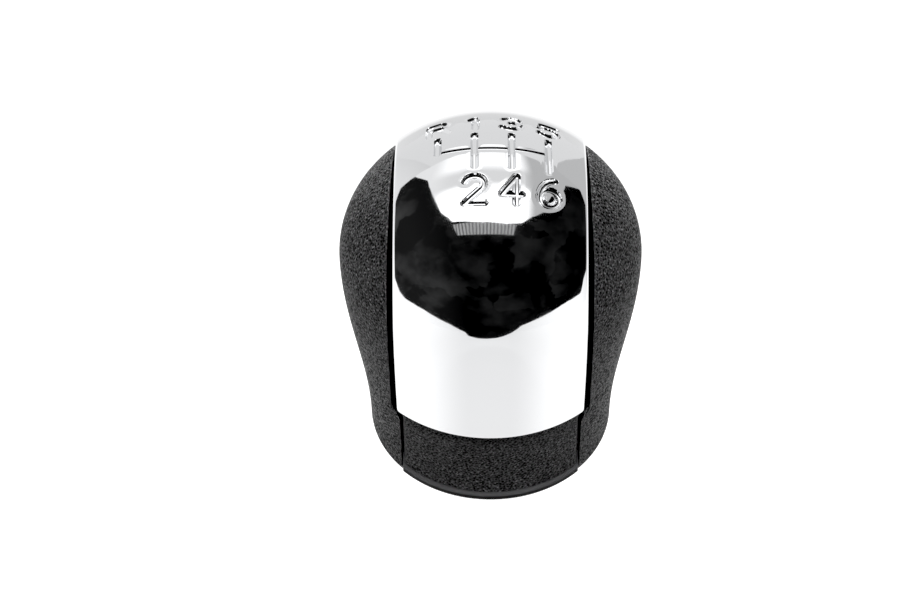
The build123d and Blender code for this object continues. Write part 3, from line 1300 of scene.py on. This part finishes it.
@dataclass
class Studio:
    """The table, the lamps, cards and screens round it, and the camera."""

    distance: float = 510.0
    elevation: float = 47.29
    aim_height: float = 28.27
    sensor_width: float = 36.0
    focal_pixels: float = 2742.0
    frame_width: float = 920.0
    axis_column: float = 490.5
    lamp_height: float = 620.0
    louvre_lift: float = 4.0
    screen_radius: float = 900.0
    screen_foot: float = -1.0
    backdrop_radius: float = 3000.0
    backdrop_floor: float = -2.0
    backdrop_glow: float = 1.06
    eye_height: float = 62.0
    key_power: float = 24.0
    spot_radius: float = 0.05
    key_degrees: float = 8.0
    key_place: Place = (0.0, -0.36, 0.72)
    key_mark: Place = (0.0, -0.02, 0.01)
    fill_power: float = 3.85
    fill_size: float = 0.14
    rear_power: float = 135.0
    rear_degrees: float = 6.6
    rear_place: Place = (0.0, 0.75, 0.35)
    rear_mark: Place = (0.0, 0.0, 0.056)
    bounce_power: float = 1.2
    bounce_size: float = 0.5
    bounce_place: Place = (0.36, 0.12, 0.003)
    black_level: float = 0.008

    def camera(self) -> None:
        """Sets the camera where the photograph was taken from."""
        tilt = math.radians(self.elevation)
        data = bpy.data.cameras.new("camera")
        data.sensor_width = self.sensor_width
        data.lens = data.sensor_width * self.focal_pixels / self.frame_width
        data.shift_x = (self.frame_width / 2 - self.axis_column) / self.frame_width
        data.clip_start, data.clip_end = 0.01, 20.0
        camera = in_scene("camera", data)
        height = self.aim_height + self.distance * math.sin(tilt)
        camera.location = (0.0, -self.distance * math.cos(tilt) * MM, height * MM)
        camera.rotation_euler = (math.pi / 2 - tilt, 0.0, 0.0)
        bpy.context.scene.camera = camera

    def hang(self, mesh: BMesh, name: str, material: Material, mirrored: bool = True) -> None:
        """Hangs a thing in the studio that casts no light of its own on matt surfaces.

        Args:
            mesh: Its mesh in millimetres, which is freed.
            name: Its name.
            material: What it is covered with.
            mirrored: Whether the chrome mirrors it, or only the camera sees it.
        """
        bmesh.ops.scale(mesh, vec=(MM, MM, MM), verts=mesh.verts)
        card = as_object(mesh, name, material)
        card.visible_diffuse = False
        card.visible_glossy = card.visible_shadow = mirrored

    def sheet(self, name: str, corners: Outline, height: float, material: Material) -> None:
        """Lays a level sheet.

        Args:
            name: Its name.
            corners: Its corners, in order.
            height: Its height above the table.
            material: What it is covered with.
        """
        mesh = bmesh.new()
        mesh.faces.new([mesh.verts.new((x, y, height)) for x, y in corners])
        self.hang(mesh, name, material)

    def backdrop(self) -> None:
        """Sweeps a white backdrop round the studio and under the table."""
        mesh = bmesh.new()
        bmesh.ops.create_uvsphere(mesh, u_segments=48, v_segments=24, radius=self.backdrop_radius)
        parts, floor = [*mesh.verts, *mesh.edges, *mesh.faces], (0.0, 0.0, self.backdrop_floor)
        bmesh.ops.bisect_plane(mesh, geom=parts, plane_co=floor, plane_no=(0.0, 0.0, 1.0), clear_inner=True)
        bmesh.ops.holes_fill(mesh, edges=open_edges(mesh), sides=0)
        cloth = StudioGlow("backdrop", self.backdrop_glow).material()
        cloth.cycles.emission_sampling = "NONE"
        self.hang(mesh, "backdrop", cloth, mirrored=False)

    def overhead(self, name: str, shares: Outline, lift: float, material: Material) -> None:
        """Hangs a level sheet above the ceiling by a lift, its corners in shares of the ceiling's height."""
        corners = [(x * self.lamp_height, y * self.lamp_height) for x, y in shares]
        self.sheet(name, corners, self.eye_height + self.lamp_height + lift, material)

    def ceiling(self) -> None:
        """Hangs the glowing ceiling and the louvre before it."""
        front = [(-0.40, 0.06), (-0.15, 0.02), (0.15, 0.0), (0.32, 0.03), (0.43, 0.12)]
        right = [(0.63, 0.29), (0.86, 0.67), (1.0, 0.98), (1.42, 1.25), (2.6, 2.4)]
        left = [(-2.0, 2.4), (-0.75, 0.92), (-0.65, 0.56), (-0.53, 0.22)]
        slats = [(-0.36, -0.135), (0.24, -0.145), (0.27, 0.0), (-0.40, 0.02)]
        self.overhead("ceiling", front + right + left, 0.0, CeilingGlow(self.lamp_height * MM).material())
        self.overhead("louvre", slats, self.louvre_lift, StudioGlow("louvre", 0.52, 14.0).material())

    def screen(self, cloth: StudioGlow | ScreenGlow, tops: Outline) -> None:
        """Stands a curved screen round the table.

        Args:
            cloth: Its cloth, which gives it its name.
            tops: Angles round from the front, and the angle up to the screen's top at each.
        """
        mesh = bmesh.new()
        radius = self.screen_radius
        turns = [(math.radians(turn), math.radians(rise)) for turn, rise in tops]
        spots = [(radius * math.sin(turn), -radius * math.cos(turn), self.screen_foot) for turn, _ in turns]
        feet = [mesh.verts.new(spot) for spot in spots]
        edges = [mesh.edges.new(pair) for pair in zip(feet[:-1], feet[1:])]
        raised = bmesh.ops.extrude_edge_only(mesh, edges=edges)["geom"]
        for vert in (item for item in raised if isinstance(item, BMVert)):
            turn = math.atan2(vert.co.x, -vert.co.y)
            rise = min(turns, key=lambda pair: abs(math.remainder(pair[0] - turn, math.tau)))[1]
            vert.co.z = self.eye_height + radius * math.tan(rise)
        self.hang(mesh, cloth.name, cloth.material())

    def aim(self, data: Light, place: Place, mark: Place) -> None:
        """Sets a light in its place, unseen in the chrome.

        Args:
            data: The light.
            place: Where it is, in metres.
            mark: The point that it shines at.
        """
        lamp = in_scene(data.name, data)
        lamp.location = place
        lamp.rotation_euler = (Vector(place) - Vector(mark)).to_track_quat("Z", "Y").to_euler()
        lamp.visible_glossy = False

    def spot(self, name: str, power: float, degrees: float, place: Place, mark: Place) -> None:
        """Sets a lamp with a soft round beam.

        Args:
            name: Its name.
            power: Its power in watts.
            degrees: How wide its beam is.
            place: Where it is, in metres.
            mark: The point that it shines at.
        """
        data = bpy.data.lights.new(name, "SPOT")
        data.energy, data.shadow_soft_size = power, self.spot_radius
        data.spot_size, data.spot_blend = math.radians(degrees), 1.0
        self.aim(data, place, mark)

    def lamp(self, name: str, power: float, size: float, place: Place, up: bool = False) -> None:
        """Sets a square lamp.

        Args:
            name: Its name.
            power: Its power in watts.
            size: Its width in metres.
            place: Where it is, in metres.
            up: Whether it lies and shines upwards, as a lit table does, or at the knob.
        """
        data = bpy.data.lights.new(name, "AREA")
        data.energy, data.size = power, size
        self.aim(data, place, (place[0], place[1], 1.0) if up else (0.0, 0.0, 0.0))

    def furnish(self) -> None:
        """Lays the table, hangs the backdrop and the ceiling, and stands the screens round it."""
        table = [(-1600, -865), (-248, -865), (-102, -418), (-48, -342), (-15, -337), (26, -376), (71, -475)]
        table += [(151, -700), (210, -875), (1600, -875), (1600, 1000), (-1600, 1000)]
        left = [(-16, -4), (-26, 1.3), (-45, 6.3), (-60, 6.0), (-70, 9.5), (-100, 16)]
        left += [(-132, 26.7), (-150, 33)]
        rear = [(-150, 33), (-165, 34), (180, 34), (165, 34), (150, 33)]
        right = [(13.5, -4), (19.8, 2.0), (26, 3.8), (49, 8.4), (64, 7.4), (73, 14), (85, 16)]
        right_rear = [(85, 16), (110, 21), (131, 28), (150, 33)]
        self.sheet("table", table, 0.0, PaleTable().material())
        self.backdrop()
        self.ceiling()
        self.screen(ScreenGlow("left_screen", 0.73, -0.3, 0.3), left)
        self.screen(StudioGlow("rear_screen", 0.95), rear)
        self.screen(ScreenGlow("right_screen", 0.76, -0.5, -0.1), right)
        self.screen(StudioGlow("right_rear_screen", 0.66), right_rear)

    def light(self) -> None:
        """Sets the lamps that light the grips."""
        self.spot("key_lamp", self.key_power, self.key_degrees, self.key_place, self.key_mark)
        self.spot("rear_lamp", self.rear_power, self.rear_degrees, self.rear_place, self.rear_mark)
        self.lamp("fill_lamp", self.fill_power, self.fill_size, self.key_place)
        x, y, z = self.bounce_place
        self.lamp("left_bounce", self.bounce_power, self.bounce_size, (-x, y, z), up=True)
        self.lamp("right_bounce", self.bounce_power, self.bounce_size, (x, y, z), up=True)

    def surround(self) -> None:
        """Darkens the room beyond the screens, with a few dim shapes in it and a paler wall on the left."""
        bench = NodeBench(bpy.data.worlds.new("dim_room"))
        way = bench.add("ShaderNodeTexCoord").outputs["Generated"]
        bend = bench.add("ShaderNodeTexNoise", {"Scale": 2.5, "Detail": 4.0})
        bent = bench.add("ShaderNodeVectorMath", {1: (0.4, 0.4, 0.4)}, operation="MULTIPLY_ADD")
        shapes = bench.add("ShaderNodeTexVoronoi", {"Scale": 3.5}, distance="CHEBYCHEV")
        blend = bench.add("ShaderNodeMath", {1: 0.3}, operation="MULTIPLY_ADD")
        parts = bench.add("ShaderNodeSeparateXYZ")
        joins = [(way, bend.inputs["Vector"]), (bend.outputs["Color"], bent.inputs[0]), (way, bent.inputs[2])]
        joins += [(bent.outputs[0], shapes.inputs["Vector"]), (shapes.outputs["Color"], blend.inputs[0])]
        joins += [(bend.outputs["Fac"], blend.inputs[2]), (way, parts.inputs[0])]
        for source, target in joins:
            bench.join(source, target)
        shades = [(0.6, (0.009, 0.009, 0.009)), (0.95, (0.034, 0.034, 0.034))]
        wall = bench.between(parts.outputs["X"], 2.6, 1.0, -0.75, -0.25)
        bench.feed(Color=bench.colours(blend.outputs[0], shades), Strength=wall)
        bpy.context.scene.world = bench.owner

    def develop(self) -> None:
        """Sets how the picture's tones are shown."""
        view = bpy.context.scene.view_settings
        view.view_transform = "Standard"
        view.use_curve_mapping = True
        view.curve_mapping.black_level = (self.black_level,) * 3
        view.curve_mapping.update()

    def build(self) -> None:
        """Sets up the whole studio."""
        self.camera()
        self.furnish()
        self.light()
        self.surround()
        self.develop()


def main() -> None:
    """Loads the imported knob, dresses it and sets the studio round it."""
    logging.basicConfig(level=logging.INFO, format="%(name)s: %(message)s")
    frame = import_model()
    form = KnobForm()
    InnerParts(frame["nodes"]).dress()
    StrapCover(form).build()
    grained = GrainedPlastic()
    for number, side in enumerate(Side):
        GripShell(form, side, LeatherGrain(seed=40 + 57 * number), grained).build()
    PanelSkin(form, Face.FRONT, LeatherGrain(seed=171), grained, top=19.95).build()
    PanelSkin(form, Face.REAR, LeatherGrain(seed=223), grained, top=43.65).build()
    Studio().build()


if __name__ == "__main__":
    main()
